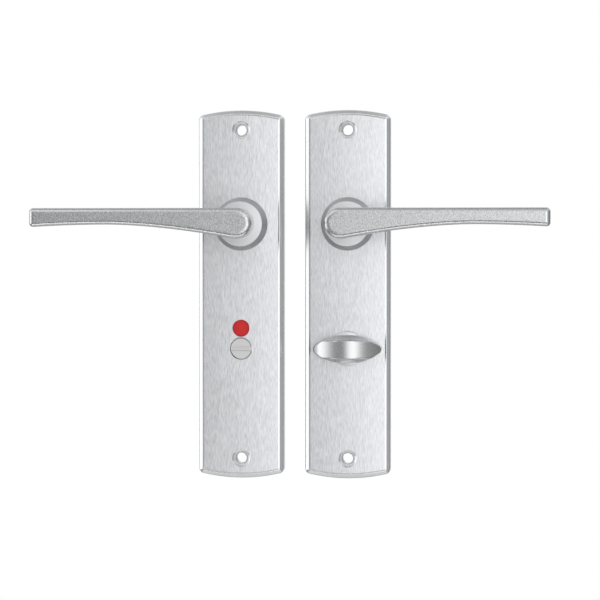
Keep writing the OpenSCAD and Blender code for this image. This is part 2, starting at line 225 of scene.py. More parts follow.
def finish(name, base, size_mm, swing, roughness, depth_mm=0.0, metallic=1.0, ior=1.5, detail=2.0):
    """A material whose colour, roughness and bump all follow one noise. roughness is (low, high)."""
    made, tree, shader = material(name, base, sum(roughness) / 2, metallic)
    shader.inputs["IOR"].default_value = ior
    grain = pattern(tree, size_mm, detail)
    vary(tree, shader.inputs["Base Color"], grain, base, swing)
    wander(tree, shader.inputs["Roughness"], grain, *roughness)
    if depth_mm:
        roughen(tree, shader, grain, depth_mm)
    return made


def skin(loops, first_cap=False, last_cap=False):
    """Faces between rings of points. loops is (rings, points round, 3); each cap is one flat face."""
    loops = np.asarray(loops, float)
    rings, around_count, _ = loops.shape
    here = np.arange(rings * around_count).reshape(rings, around_count)
    after = np.roll(here, -1, axis=1)
    quads = np.stack([here[:-1], after[:-1], after[1:], here[1:]], axis=-1).reshape(-1, 4).tolist()
    if first_cap:
        quads.append(here[0][::-1].tolist())
    if last_cap:
        quads.append(here[-1].tolist())
    return loops.reshape(-1, 3), quads


def circle(radius, count=96, centre=(0.0, 0.0)):
    """Points round a circle, from the angle 0 on: centre + radius times (cosine, sine). The radius is
    a number, or one for each point."""
    turn = np.arange(count) * 2 * np.pi / count
    return np.stack([centre[0] + radius * np.cos(turn), centre[1] + radius * np.sin(turn)], axis=-1)


def raised(loop, depth):
    """A flat loop put at one depth, or at a depth for each point."""
    loop = np.asarray(loop, float)
    return np.column_stack([loop, np.broadcast_to(depth, len(loop))])


# Matt emulsion: almost white, with faint clouds a few centimetres wide.
matt_paint = finish("matt_white_paint", "#F0F0EE", (60, 60, 60), 0.01, (0.8, 0.8), metallic=0.0)
floor_rings = [raised(circle(r), -FLOOR_DROP) for r in (FLOOR_RADIUS, FLOOR_RADIUS - FLOOR_EDGE)]
floor_points, floor_faces = skin(floor_rings, last_cap=True)
floor_mesh = bpy.data.meshes.new("pale_floor")
floor_mesh.from_pydata((floor_points * MM).tolist(), [], floor_faces)
floor_mesh.materials.append(matt_paint)
floor = bpy.data.objects.new("pale_floor", floor_mesh)
bpy.context.scene.collection.objects.link(floor)

# ---------------- the two long plates
# Pressed aluminium plates, brushed upright along the face and anodised satin. A bevel runs all
# round, with a fine step where it meets the face, and the back is hollow with posts for screws.

joint_at = {row["name"]: row["pos_m"] for row in frame["joints"]}
outside_x, _, LEVER_UP = (round(value / MM, 3) for value in joint_at["outside_lever_turn"])
inside_x, _, TURN_UP = (round(value / MM, 3) for value in joint_at["thumb_turn_rotate"])
plate_low, plate_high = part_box("outside_plate")
PLATE_WIDTH = round((plate_high.x - plate_low.x) / MM, 1)
PLATE_HEIGHT = round((plate_high.z - plate_low.z) / MM, 1)
END_ARC = 86.0
CORNER = 2.8
CROWN = 480.0
FACE_WALL = 2.2
INNER_FACE = PLATE_FACE - FACE_WALL
POCKET = (38.6, 154.0, 3.0)
BEAD = (2.75, 0.42)
SCREW_UP = 83.0
SCREW_RADIUS = 2.7
SINK_RADIUS = 4.4
BUSH_HOLE = 10.0
COIN_HOLE = 5.55
WINDOW = (TURN_UP + 10.3, 4.3)
THUMB_HOLE = 8.02
CAGE_POST = 21.0
STRAP_POST = 19.0
POST_RADIUS = 3.0
PILOT_RADIUS = 1.25


def make_piece(name, shells, materials, body, replaced, axis, mirrored=False, crease=32):
    """Joins shells of (points, faces, material index) drawn in mm as (across, up, out of the door)
    about an axis, welds their seams, turns the faces outwards and, if a CAD body is named, hands the
    piece to it."""
    made = bmesh.new()
    for points, faces, index in shells:
        across, up, out = np.asarray(points, float).T
        across = -across if mirrored else across
        world = np.stack([axis[0] + across, -out, axis[1] + up], axis=-1) * MM
        corners = [made.verts.new(p) for p in world.tolist()]
        for face in faces:
            new_face = made.faces.new([corners[i] for i in face])
            new_face.material_index = index
            new_face.smooth = True
    bmesh.ops.remove_doubles(made, verts=made.verts, dist=0.002 * MM)
    bmesh.ops.dissolve_degenerate(made, edges=made.edges, dist=0.0002 * MM)
    bmesh.ops.recalc_face_normals(made, faces=made.faces)
    mesh = bpy.data.meshes.new(name)
    made.to_mesh(mesh)
    made.free()
    mesh.set_sharp_from_angle(angle=math.radians(crease))
    for used in materials:
        mesh.materials.append(used)
    piece = bpy.data.objects.new(name, mesh)
    bpy.context.scene.collection.objects.link(piece)
    if body:
        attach(piece, body)
        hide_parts(*replaced)
    return piece


def plate_outline(inset):
    """The plate's outline moved inwards: straight sides, arched ends and round corners, all on fixed
    centres, so that only the radii change with the inset. A quarter is worked out, then reflected."""
    corner = CORNER - inset
    centre_x = PLATE_WIDTH / 2 - CORNER
    arc_z = PLATE_HEIGHT / 2 - END_ARC
    reach = END_ARC - CORNER
    centre_z = arc_z + math.sqrt(reach**2 - centre_x**2)
    lean = math.atan2(centre_z - arc_z, centre_x)
    side = np.linspace(0, centre_z, 60)[:-1]
    quarter = np.stack([np.full(59, centre_x + corner), side], axis=-1)
    turn = np.linspace(0, lean, 12)[:-1]
    bend = np.stack([centre_x + corner * np.cos(turn), centre_z + corner * np.sin(turn)], axis=-1)
    sweep = np.linspace(lean, math.pi / 2, 20)
    arch = np.stack([(reach + corner) * np.cos(sweep), arc_z + (reach + corner) * np.sin(sweep)], axis=-1)
    quarter = np.concatenate([quarter, bend, arch])
    left = (quarter * [-1, 1])[::-1][1:]
    upper = np.concatenate([quarter, left])
    lower = (upper * [1, -1])[::-1][1:-1]
    return np.concatenate([upper, lower])


def crown(points):
    """Depth of the face: its middle line less across squared over twice the crown's radius."""
    points = np.asarray(points, float)
    return PLATE_FACE - points[:, 0] ** 2 / (2 * CROWN)


def rounded_box(width, height, radius, count=10, centre=(0.0, 0.0)):
    """A rectangle with round corners and points every few millimetres along its straight sides."""
    turn = np.linspace(0, np.pi / 2, count)
    corners = []
    for k, (sx, sy) in enumerate([(1, 1), (-1, 1), (-1, -1), (1, -1)]):
        a = turn + k * np.pi / 2
        corners.append(np.stack([
            sx * (width / 2 - radius) + radius * np.cos(a), sy * (height / 2 - radius) + radius * np.sin(a)
        ], axis=-1))
    ring = []
    for k in range(4):
        ring.append(corners[k])
        start, end = corners[k][-1], corners[(k + 1) % 4][0]
        steps = max(2, int(np.hypot(*(end - start)) / 3))
        share = np.linspace(0, 1, steps + 1)[1:-1, None]
        ring.append(start + (end - start) * share)
    return np.concatenate(ring) + centre


def inside_loop(points, loop):
    """Even-odd rule: a point is inside where a line from it to the right crosses the loop an odd
    number of times."""
    x, y = points[:, 0, None], points[:, 1, None]
    (x1, y1), (x2, y2) = loop.T, np.roll(loop, -1, axis=0).T
    spans = (y1 > y) != (y2 > y)
    rise = np.where(y2 == y1, 1e-12, y2 - y1)
    return (spans & (x < (x2 - x1) * (y - y1) / rise + x1)).sum(axis=1) % 2 == 1


def sheet(outer, holes, pitch, depth):
    """A flat or gently curved sheet inside one loop and outside others: the loops and a square grid
    between them, joined by constrained Delaunay triangles. depth is a number or a function of points."""
    loops = [np.asarray(outer, float), *[np.asarray(h, float) for h in holes]]
    low, high = loops[0].min(axis=0), loops[0].max(axis=0)
    gx, gy = np.meshgrid(np.arange(low[0], high[0], pitch), np.arange(low[1], high[1], pitch))
    grid = np.stack([gx.ravel(), gy.ravel()], axis=-1)
    keep = inside_loop(grid, loops[0])
    for hole in loops[1:]:
        keep &= ~inside_loop(grid, hole)
    grid = grid[keep]
    border = np.concatenate(loops)
    gap = np.hypot(grid[:, 0, None] - border[:, 0], grid[:, 1, None] - border[:, 1]).min(axis=1)
    grid = grid[gap > pitch * 0.55]
    edges, start = [], 0
    for loop in loops:
        ring = np.arange(start, start + len(loop))
        edges += np.stack([ring, np.roll(ring, -1)], axis=-1).tolist()
        start += len(loop)
    points, _, faces, *_ = delaunay_2d_cdt(
        [tuple(p) for p in np.concatenate([border, grid]).tolist()], edges, [], 0, 1e-5
    )
    points = np.array([tuple(p) for p in points])
    faces = np.array(faces)
    middle = points[faces].mean(axis=1)
    keep = inside_loop(middle, loops[0])
    for hole in loops[1:]:
        keep &= ~inside_loop(middle, hole)
    heights = depth(points) if callable(depth) else np.full(len(points), float(depth))
    return np.column_stack([points, heights]), faces[keep].tolist()


def soften(corners, radius, steps=5):
    """A polyline whose inner corners become quadratic curves that start and end a radius away."""
    corners = np.asarray(corners, float)
    path = [corners[:1]]
    share = np.linspace(0, 1, steps)[:, None]
    for before, corner, after in zip(corners[:-2], corners[1:-1], corners[2:], strict=True):
        into, out = before - corner, after - corner
        reach = min(radius, np.hypot(*into) * 0.45, np.hypot(*out) * 0.45)
        start = corner + into / np.hypot(*into) * reach
        end = corner + out / np.hypot(*out) * reach
        path.append((1 - share) ** 2 * start + 2 * share * (1 - share) * corner + share**2 * end)
    path.append(corners[-1:])
    return np.concatenate(path)


def bore(centre, steps, count=64):
    """The wall of a round hole or post: rings of (radius, depth), depth None meaning the crowned face."""
    rings = []
    for radius, depth in steps:
        ring = circle(radius, count, centre)
        rings.append(raised(ring, crown(ring) if depth is None else depth))
    return rings


def plate_shells(openings, posts):
    """A plate: crowned face, bevel, back rim, pocket and every hole. openings are (height, radius)
    of round holes through the face, posts are (height, depth of its top)."""
    # Inset from the edge against rise over the face: fine step, bead, bevel and rounded lip.
    start, crest = BEAD
    bevel = soften([(2.1, crest), (1.85, crest), (0.35, -1.0), (0.0, -1.75), (0.0, -3.0)], 0.16)
    bevel = np.concatenate([[(start, 0.0), (start - 0.09, 0.0)], bevel])
    rim = []
    for inset, rise in bevel:
        loop = plate_outline(inset)
        sag = loop[:, 0] ** 2 / (2 * CROWN) * min(1.0, inset / 1.8)
        rim.append(raised(loop, PLATE_FACE + rise - sag))
    for inset, depth in [(0.0, 4.0), (0.0, 1.0), (0.0, 0.35), (0.12, 0.1), (0.35, 0.0)]:
        rim.append(raised(plate_outline(inset), depth))
    broken = 0.15
    sinks = [circle(SINK_RADIUS + broken, 64, (0, s * SCREW_UP)) for s in (-1, 1)]
    exits = [circle(SCREW_RADIUS + broken, 64, (0, s * SCREW_UP)) for s in (-1, 1)]
    mouths = [circle(radius + broken, 64, (0, up)) for up, radius in openings]
    backs = [circle(radius, 64, (0, up)) for up, radius in openings]
    feet = [circle(POST_RADIUS, 64, (0, up)) for up, _ in posts]
    pocket = rounded_box(*POCKET)
    shells = [
        (*sheet(plate_outline(BEAD[0]), sinks + mouths, 1.6, crown), 0),
        (*skin(rim), 1),
        (*sheet(plate_outline(0.35), [pocket, *exits], 3, 0.0), 1),
        (*skin([raised(pocket, d) for d in (0.0, 0.2, 4.0, INNER_FACE)]), 1),
        (*sheet(pocket, feet + backs, 4, INNER_FACE), 1),
    ]
    for s in (-1, 1):
        steps = [
            (SINK_RADIUS + broken, None), (SINK_RADIUS, PLATE_FACE - 0.12),
            (SCREW_RADIUS + 0.08, PLATE_FACE - 1.72), (SCREW_RADIUS, PLATE_FACE - 1.85),
            (SCREW_RADIUS, 0.2), (SCREW_RADIUS + broken, 0.0),
        ]
        shells.append((*skin(bore((0, s * SCREW_UP), steps)), 1))
    for up, radius in openings:
        steps = [(radius + broken, None), (radius, PLATE_FACE - 0.14), (radius, INNER_FACE)]
        shells.append((*skin(bore((0, up), steps)), 1))
    for up, top in posts:
        steps = [
            (POST_RADIUS, INNER_FACE), (POST_RADIUS, top + 0.25), (POST_RADIUS - 0.25, top),
            (PILOT_RADIUS + 0.25, top), (PILOT_RADIUS, top + 0.2), (PILOT_RADIUS, INNER_FACE + 0.4),
        ]
        shells.append((*skin(bore((0, up), steps), last_cap=True), 1))
    return shells


# Brushed aluminium: fine upright scratches 0.3 mm apart, drawn a little coarser so that they show.
BRUSHED = "#DCDDE0"
brushed_aluminium, tree, shader = material("brushed_anodised_aluminium", BRUSHED, 0.40, 1.0)
grain = pattern(tree, (0.36, 0.36, 3.2), detail=3.0)
haze = pattern(tree, (9.0, 9.0, 30.0))
both = blend(tree, 0.06, grain, haze)
vary(tree, shader.inputs["Base Color"], both, BRUSHED, 0.17)
wander(tree, shader.inputs["Roughness"], grain, 0.31, 0.39)
roughen(tree, shader, grain, 0.006)

# The same metal where the press has smoothed it: the bevel, the holes and the hollow back.
pressed_aluminium = finish(
    "pressed_anodised_aluminium", "#DADBDD", (5.0, 5.0, 12.0), 0.02, (0.25, 0.30)
)

cage_posts = [(LEVER_UP + s * CAGE_POST, 5.6) for s in (-1, 1)]
strap_posts = [(TURN_UP + s * STRAP_POST, 3.3) for s in (-1, 1)]
outside_holes = [(LEVER_UP, BUSH_HOLE), (TURN_UP, COIN_HOLE), WINDOW]
inside_holes = [(LEVER_UP, BUSH_HOLE), (TURN_UP, THUMB_HOLE)]
for half, x, holes, posts in (
    ("outside", outside_x, outside_holes, cage_posts + strap_posts),
    ("inside", inside_x, inside_holes, cage_posts),
):
    make_piece(
        half + "_plate_brushed", plate_shells(holes, posts), [brushed_aluminium, pressed_aluminium],
        "plates", [half + "_plate"], (x, 0.0),
    )

# ---------------- the two levers
# Each is one aluminium casting of hub, conical collar, neck and grip, blasted and anodised. The
# hub turns in the plate and is machined with two flats, a groove and a square bore for the
# spindle. A hole for the grub screw goes through the collar's side, below the grip.

lever_low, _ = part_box("outside_lever")
LEVER_LENGTH = round(outside_x - lever_low.x / MM, 1)
LEVER_FRONT = round(-lever_low.y / MM, 1)
LEVER_EDGE = 2.3
TIP_CORNER = 2.0
ROOT_RADIUS = 7.5
ROOT_AXIS = -1.7
WAIST = (63.0, 8.15)
TIP_HEIGHT = 9.4
NECK_RADIUS = 7.0
BACK_FILLET = (19.0, 28.0, 12.0)
BACK_SLOPE = 2.5
COLLAR = ((13.5, 10.35), (11.2, 16.8))
HUB_RADIUS = 8.0
HUB_FLAT = 6.6
SOCKET = 4.05
GRUB = (13.6, 2.5)
RAYS = 128


def rounded_both(a, b, radius):
    """Distance to a solid that is below two faces at once, whose edge is rounded to that radius:
    the smaller of 0 and max(a+r, b+r), plus the length of their positive parts, less r."""
    a, b = a + radius, b + radius
    return np.minimum(np.maximum(a, b), 0) + np.hypot(np.maximum(a, 0), np.maximum(b, 0)) - radius


def grip_height(u):
    """Full at the root, least at the waist, a little more at the tip: powers 1.7 and 2 of the way."""
    toward = np.clip(u, 0, WAIST[0]) / WAIST[0]
    beyond = np.clip(u - WAIST[0], 0, None) / (LEVER_LENGTH - WAIST[0])
    root = (2 * ROOT_RADIUS - WAIST[1]) * (1 - toward) ** 1.7
    return WAIST[1] + root + (TIP_HEIGHT - WAIST[1]) * beyond**2


def lever_field(u, v, d):
    """Distance to the neck and grip, less than 0 inside. In front view the grip is a disc about the
    root, then lies between a straight top and a curved bottom. Its back is a torus-shaped fillet
    out of the neck, then a nearly level face. Front and back edges are rounded."""
    disc = np.hypot(u - ROOT_AXIS, v) - ROOT_RADIUS
    bar = np.maximum(v - ROOT_RADIUS, ROOT_RADIUS - grip_height(u) - v)
    outline = np.where(u < ROOT_AXIS, disc, rounded_both(bar, u - LEVER_LENGTH, TIP_CORNER))
    reach, start, fillet = BACK_FILLET
    away = np.hypot(u, v)
    straight = start + fillet + BACK_SLOPE * np.clip(u - reach, 0, None) / (LEVER_LENGTH - reach) - d
    hollow = fillet - np.hypot(away - reach, d - start)
    back = np.where(d < start, away - NECK_RADIUS, np.where(away < reach, hollow, straight))
    back = np.where((away < reach) & (d > start + fillet), -fillet, back)
    softness = 0.5 + 1.8 * np.clip((away - 8) / 12, 0, 1)
    front = rounded_both(outline, d - LEVER_FRONT, LEVER_EDGE)
    return np.maximum(front, rounded_both(outline, back, softness))


def cast_rings(field, centres, lean, rays=RAYS):
    """Closed rings where the field is 0, one about each centre. Each ray leaves its centre at an
    angle in the plane of v and a leaning direction, and is halved 30 times to find the surface."""
    turn = np.arange(rays) * 2 * np.pi / rays
    centres, lean = np.asarray(centres, float)[:, None], np.asarray(lean, float)[:, None]
    way = np.cos(turn)[None, :, None] * lean + np.sin(turn)[None, :, None] * np.array([0.0, 1.0, 0.0])
    near, far = np.zeros(way.shape[:2]), np.full(way.shape[:2], 30.0)
    for _ in range(30):
        middle = (near + far) / 2
        u, v, d = np.moveaxis(centres + way * middle[..., None], -1, 0)
        inside = field(u, v, d) < 0
        near, far = np.where(inside, middle, near), np.where(inside, far, middle)
    return centres + way * near[..., None]


def turned(profile, shape=lambda radius, turn: radius, rays=RAYS):
    """Rings about the axis from (radius, depth) pairs. shape may cut flats: it gives the radius at each
    angle. The angle is counted from -u, as in the cast rings, so that both can be joined."""
    turn = np.arange(rays) * 2 * np.pi / rays
    rings = []
    for radius, depth in profile:
        r = np.broadcast_to(shape(radius, turn), turn.shape)
        rings.append(np.stack([-r * np.cos(turn), r * np.sin(turn), np.full(rays, float(depth))], axis=-1))
    return rings


def squared(half, turn):
    """Radius of a square hole: its half side over the greater of |cos| and |sin|."""
    return half / np.maximum(np.abs(np.cos(turn)), np.abs(np.sin(turn)))


def flatted(radius, turn):
    """A radius cut by the two flats of the hub: no more than flat / |sin|."""
    return np.minimum(radius, HUB_FLAT / np.maximum(np.abs(np.sin(turn)), 1e-9))


def collar_cone():
    """The collar's side, unrolled: angle times the mean radius against depth, with the grub hole cut
    where a cylinder along u meets the cone, then rolled up. Gives the cone and the hole's wall."""
    (r1, d1), (r2, d2) = COLLAR
    mean = (r1 + r2) / 2
    slope = (r2 - r1) / (d2 - d1)
    low, high = d1 + 0.25, d2 - 0.4

    def cone_radius(depth):
        """Radius of the cone at a depth: its base radius plus the slope times the rise."""
        return r1 + slope * (depth - d1)

    turn = np.arange(RAYS + 1) * 2 * np.pi / RAYS * mean
    rise = np.linspace(low, high, 8)[1:-1]
    outer = np.concatenate([
        raised(turn[:, None], low), np.column_stack([np.full(6, turn[-1]), rise]),
        raised(turn[::-1, None], high), np.column_stack([np.zeros(6), rise[::-1]]),
    ])
    hole_turn = np.arange(32) * 2 * np.pi / 32
    v, d = GRUB[1] * np.cos(hole_turn), GRUB[0] + GRUB[1] * np.sin(hole_turn)
    rim = np.column_stack([(np.pi - np.arcsin(v / cone_radius(d))) * mean, d])
    flat, faces = sheet(outer, [rim], 0.9, 0.0)
    angle, depth = flat[:, 0] / mean, flat[:, 1]
    radius = cone_radius(depth)
    cone = np.column_stack([-radius * np.cos(angle), radius * np.sin(angle), depth])
    lip = np.column_stack([np.sqrt(cone_radius(d) ** 2 - v**2), v, d])
    wall = [lip, np.column_stack([np.full(32, 10.6), v, d]), np.column_stack([np.full(32, 4.3), v, d])]
    return (cone, faces), skin(wall, last_cap=True)


def lever_shells():
    """Hub, collar with its hole, then one long skin over neck, grip and tip."""
    (r1, d1), (r2, d2) = COLLAR
    inside = skin(turned([(SOCKET, 32.0), (SOCKET, 0.8), (SOCKET + 0.4, 0.4)], squared), first_cap=True)
    hub_end = [(HUB_RADIUS - 0.4, 0.4), (HUB_RADIUS, 0.7), (HUB_RADIUS, 0.95), (HUB_RADIUS - 0.6, 0.95),
               (HUB_RADIUS - 0.6, 1.95), (HUB_RADIUS, 1.95), (HUB_RADIUS, 3.3)]
    mouth = [*turned([(SOCKET + 0.4, 0.4)], squared), *turned(hub_end, flatted)]
    hub = turned([(HUB_RADIUS, 3.3), (HUB_RADIUS, d1), (r1 - 0.25, d1), (r1, d1 + 0.12),
                  (r1 - 0.09, d1 + 0.25)])
    top = soften([(r2 + 0.143, d2 - 0.4), (r2, d2), (NECK_RADIUS, d2), (NECK_RADIUS, d2 + 1.2)], 0.4, 7)
    rise = np.arange(d2 + 1.2, BACK_FILLET[1], 1.3)[1:]
    along_neck = np.column_stack([0 * rise, 0 * rise, rise])
    neck = cast_rings(lever_field, along_neck, np.tile([-1.0, 0, 0], (len(rise), 1)))
    lean = np.linspace(0, np.pi / 2, 116)
    centre_u, centre_d = BACK_FILLET[0] * (1 - np.cos(lean)), BACK_FILLET[1] + 17.5 * np.sin(lean)
    level = np.linspace(BACK_FILLET[0], LEVER_LENGTH - 2.6, 74)[1:]
    closing = LEVER_LENGTH - 2.6 * (1 - np.sin(np.linspace(0, 1.57, 13)[1:]))
    ahead = np.concatenate([level, closing])
    centre_d = np.concatenate([centre_d, centre_d[-1] + 1.4 * (ahead - ahead[0]) / (ahead[-1] - ahead[0])])
    centre_u = np.concatenate([centre_u, ahead])
    centre_v = ROOT_RADIUS - grip_height(centre_u) / 2
    way = np.concatenate([
        np.column_stack([-np.cos(lean), 0 * lean, np.sin(lean)]), np.tile([0.0, 0, 1], (len(ahead), 1))
    ])
    grip = cast_rings(lever_field, np.column_stack([centre_u, centre_v, centre_d]), way)
    body = [turned([(NECK_RADIUS, d2 + 1.2)])[0], *neck, *grip]
    cone, grub_wall = collar_cone()
    # The cone takes the third material, whose colour is painted darker as shade.
    return [(*inside, 1), (*skin(mouth), 1), (*skin(hub), 1), (*cone, 2), (*grub_wall, 1),
            (*skin(turned(top)), 1), (*skin(body, last_cap=True), 0)]


# Blasted grain: pits about 0.3 mm across, drawn a little larger so that they show.
blasted_aluminium = finish(
    "blasted_anodised_aluminium", "#C2C3C4", (0.55, 0.55, 0.55), 0.22, (0.19, 0.28), 0.007
)
# Machined and anodised: fine and even, its marks drawn coarser too.
machined_aluminium = finish(
    "machined_anodised_aluminium", "#D9DADC", (0.6, 0.6, 0.6), 0.05, (0.29, 0.38), 0.003
)
# The collar's side is turned with a coarse feed of half a millimetre, and its colour is painted darker as
# shade on the cone.
collar_feed_and_painted_shade_aluminium = finish(
    "coarse_turned_painted_shade_aluminium", "#ACADAF", (3.0, 0.5, 3.0), 0.06, (0.32, 0.40)
)

for half, x, mirrored in (("outside", outside_x, True), ("inside", inside_x, False)):
    lever = half + "_lever"
    make_piece(
        lever + "_cast", lever_shells(), [blasted_aluminium, machined_aluminium, collar_feed_and_painted_shade_aluminium],
        lever, [lever], (x, LEVER_UP), mirrored,
    )

# ---------------- coin turn
# A turned aluminium knob behind the outside plate. A coin's slot is milled across its face, and
# its hidden end is squared for the leaf spring and bored for the spindle.

COIN_RADIUS = 5.35
COIN_FACE = 5.15
COIN_FRONT = 10.3
SLOT = (1.125, 8.3)
BARREL = (7.9, 7.25)
BARREL_DEPTHS = (3.6, 5.9)
BOSS_RADIUS = 6.6
KEY_FLAT = 4.6


def half_moon(radius, gap, count=40):
    """The part of a disc above a straight cut: an arc from the cut's one end to the other."""
    start = math.asin(gap / radius)
    turn = np.linspace(start, math.pi - start, count)
    across = np.linspace(-radius * math.cos(start), radius * math.cos(start), 14)[1:-1]
    arc = np.stack([radius * np.cos(turn), radius * np.sin(turn)], axis=-1)
    return np.concatenate([arc, np.column_stack([across, np.full(12, gap)])])


def keyed(radius, turn):
    """A radius cut by the key's single flat: no more than flat / -sin below the axis."""
    return np.where(np.sin(turn) < 0, np.minimum(radius, KEY_FLAT / np.maximum(-np.sin(turn), 1e-9)), radius)


def barrel(radius, turn):
    """The turn's square barrel: a square whose corners are cut off by a radius."""
    return np.minimum(radius, squared(BARREL[1], turn))


low, high = BARREL_DEPTHS
slot_half, slot_floor = SLOT
coin_bore = turned([(SOCKET, high), (SOCKET, 0.8), (SOCKET + 0.3, 0.5)], squared)
coin_body = [
    coin_bore[-1], *turned([(BOSS_RADIUS - 0.2, 0.5), (BOSS_RADIUS, 0.7), (BOSS_RADIUS, low)]),
    *turned([(BARREL[0], low), (BARREL[0], high)], barrel),
    *turned([(COIN_RADIUS, high), (COIN_RADIUS, 7.0)], keyed),
    *turned([(COIN_RADIUS, 7.0), (COIN_RADIUS, slot_floor)]),
]
coin_shells = [(*skin(coin_bore, first_cap=True), 0), (*skin(coin_body, last_cap=True), 0)]
for side in (1, -1):
    steps = [(0.0, slot_floor), (0.0, COIN_FRONT - 0.3), (0.03, COIN_FRONT - 0.1), (0.15, COIN_FRONT)]
    cheek = [raised(half_moon(COIN_FACE - cut, slot_half + cut) * [1, side], depth) for cut, depth in steps]
    coin_shells.append((*skin(cheek, first_cap=True, last_cap=True), 0))

# Turned: rings about the axis 0.15 mm apart, drawn three times as coarse so that they show. A wave
# texture of scale s has its rings 2 pi / (20 s) apart.
TURNED = "#D6D6D6"
RING_PITCH = 0.45
turned_aluminium, tree, shader = material("turned_anodised_aluminium", TURNED, 0.30, 1.0)
place = add_node(tree, "ShaderNodeTexCoord").outputs["Object"]
to_axis = {"Vector": place, "Location": (-outside_x * MM, 0, -TURN_UP * MM)}
centred = add_node(tree, "ShaderNodeMapping", to_axis).outputs["Vector"]
cuts = {"Vector": centred, "Scale": 2 * math.pi / (20 * RING_PITCH * MM), "Distortion": 0.6}
rings = add_node(tree, "ShaderNodeTexWave", cuts, wave_type="RINGS", rings_direction="Y").outputs["Fac"]
vary(tree, shader.inputs["Base Color"], rings, TURNED, 0.04)
wander(tree, shader.inputs["Roughness"], pattern(tree, (1.5, 1.5, 1.5)), 0.28, 0.34)
roughen(tree, shader, rings, 0.002)
make_piece(
    "coin_turn_turned", coin_shells, [turned_aluminium], "coin_turn", ["coin_turn"],
    (outside_x, TURN_UP),
)

# ---------------- thumb turn
# An almond-shaped knob with a curved front and hollow flanks, cast in one with its round foot and
# the stem that turns in the plate, then blasted and anodised.

THUMB_HALF = (17.25, 7.4)
THUMB_TIP = 2.6
THUMB_FOOT = (8.9, 10.35, 12.55)
THUMB_FRONT = 24.95
THUMB_CROWN = 20.0
FLANK = (18.0, 22.6, 21.95)
STEM_RADIUS = 6.75
STEM_GROOVE = (6.1, 3.2, 4.1)
STEM_BORE = 9.35


def almond(u, v):
    """Distance to an almond between two circles, shrunk by its tip radius then grown again. Near a tip
    it is the distance to the tip's centre, elsewhere to the circle on the other side."""
    long, wide = THUMB_HALF[0] - THUMB_TIP, THUMB_HALF[1] - THUMB_TIP
    radius = (long**2 + wide**2) / (2 * wide)
    offset = radius - wide
    u, v = np.abs(u), np.abs(v)
    at_tip = (u - long) * offset > v * long
    return np.where(at_tip, np.hypot(u - long, v), np.hypot(u, v + offset) - radius) - THUMB_TIP


def thumb_field(u, v, d):
    """Distance to the knob: an almond in front view, under a cylinder across it, with a flank hollowed
    by a cylinder along it on each side, above a flat bottom."""
    flank = FLANK[0] - np.hypot(np.abs(v) - FLANK[1], d - FLANK[2])
    side = rounded_both(almond(u, v), flank, 0.5)
    front = np.hypot(u, d - (THUMB_FRONT - THUMB_CROWN)) - THUMB_CROWN
    return rounded_both(rounded_both(side, front, 0.75), THUMB_FOOT[2] - 0.2 - d, 0.35)


station = THUMB_HALF[0] * np.sin(np.linspace(-1.555, 1.555, 101))
top = THUMB_FRONT - THUMB_CROWN + np.sqrt(THUMB_CROWN**2 - station**2)
middle = np.column_stack([station, 0 * station, (top + THUMB_FOOT[2]) / 2])
knob = cast_rings(thumb_field, middle, np.tile([0.0, 0, 1], (len(station), 1)), 120)
foot_radius, foot_back, foot_front = THUMB_FOOT
neck_radius, groove_back, groove_front = STEM_GROOVE
stem_bore = turned([(SOCKET, STEM_BORE), (SOCKET, 1.8), (SOCKET + 0.3, 1.5)], squared)
stem = [(STEM_RADIUS - 0.3, 1.5), (STEM_RADIUS, 1.8), (STEM_RADIUS, groove_back), (neck_radius, groove_back),
        (neck_radius, groove_front), (STEM_RADIUS, groove_front), (STEM_RADIUS, foot_back)]
disc = [(-0.2, foot_back), (0.0, foot_back + 0.15), (0.0, foot_front - 0.45), (-0.08, foot_front - 0.25),
        (-0.25, foot_front - 0.1), (-0.5, foot_front), (-4.9, foot_front)]
foot = [stem_bore[-1], *turned(stem + [(foot_radius + step, depth) for step, depth in disc])]
thumb_shells = [
    (*skin(knob, first_cap=True, last_cap=True), 0),
    (*skin(foot, last_cap=True), 1),
    (*skin(stem_bore, first_cap=True), 1),
]

# Blasted finer than the levers.
satin_aluminium = finish(
    "satin_anodised_aluminium", "#C0C1C2", (0.45, 0.45, 0.45), 0.05, (0.20, 0.29), 0.004, detail=3.0
)
make_piece(
    "thumb_turn_cast", thumb_shells, [satin_aluminium, machined_aluminium], "thumb_turn", ["thumb_turn"],
    (inside_x, TURN_UP),
)

# ---------------- indicator
# Behind the window turns a white nylon disc, pushed onto the key of the coin turn. A sector of red
# plastic is pressed onto it and fills the window while the door is locked. Both are moulded.

INDICATOR_RADIUS = 15.2
DISC_DEPTHS = (5.95, 6.9)
SECTOR_DEPTHS = (6.9, 7.4)
SECTOR_TURN = (62.0, 118.0)
# A sheet on so wide a grid has points only on its outline.
OPEN = 50.0


def moved_in(loop, distance):
    """A counter-clockwise loop moved inwards, square to the line between each point's neighbours."""
    along = np.roll(loop, -1, axis=0) - np.roll(loop, 1, axis=0)
    along = along / np.hypot(along[:, 0], along[:, 1])[:, None]
    return loop + distance * np.column_stack([-along[:, 1], along[:, 0]])


def flat_piece(outer, holes, low, high, edge=0.08):
    """A flat piece with holes between two depths, its edges broken by a small bevel on both faces."""
    beds = [moved_in(outer, edge), *[moved_in(hole, -edge) for hole in holes]]
    shells = [(*sheet(beds[0], beds[1:], OPEN, depth), 0) for depth in (low, high)]
    for loop, bed in zip([outer, *holes], beds, strict=True):
        rings = [(bed, low), (loop, low + edge), (loop, high - edge), (bed, high)]
        shells.append((*skin([raised(*ring) for ring in rings]), 0))
    return shells


def arc(radius, start, stop, count, centre=(0.0, 0.0)):
    """Points along an arc between two angles in degrees."""
    turn = np.radians(np.linspace(start, stop, count))
    return np.stack([centre[0] + radius * np.cos(turn), centre[1] + radius * np.sin(turn)], axis=-1)


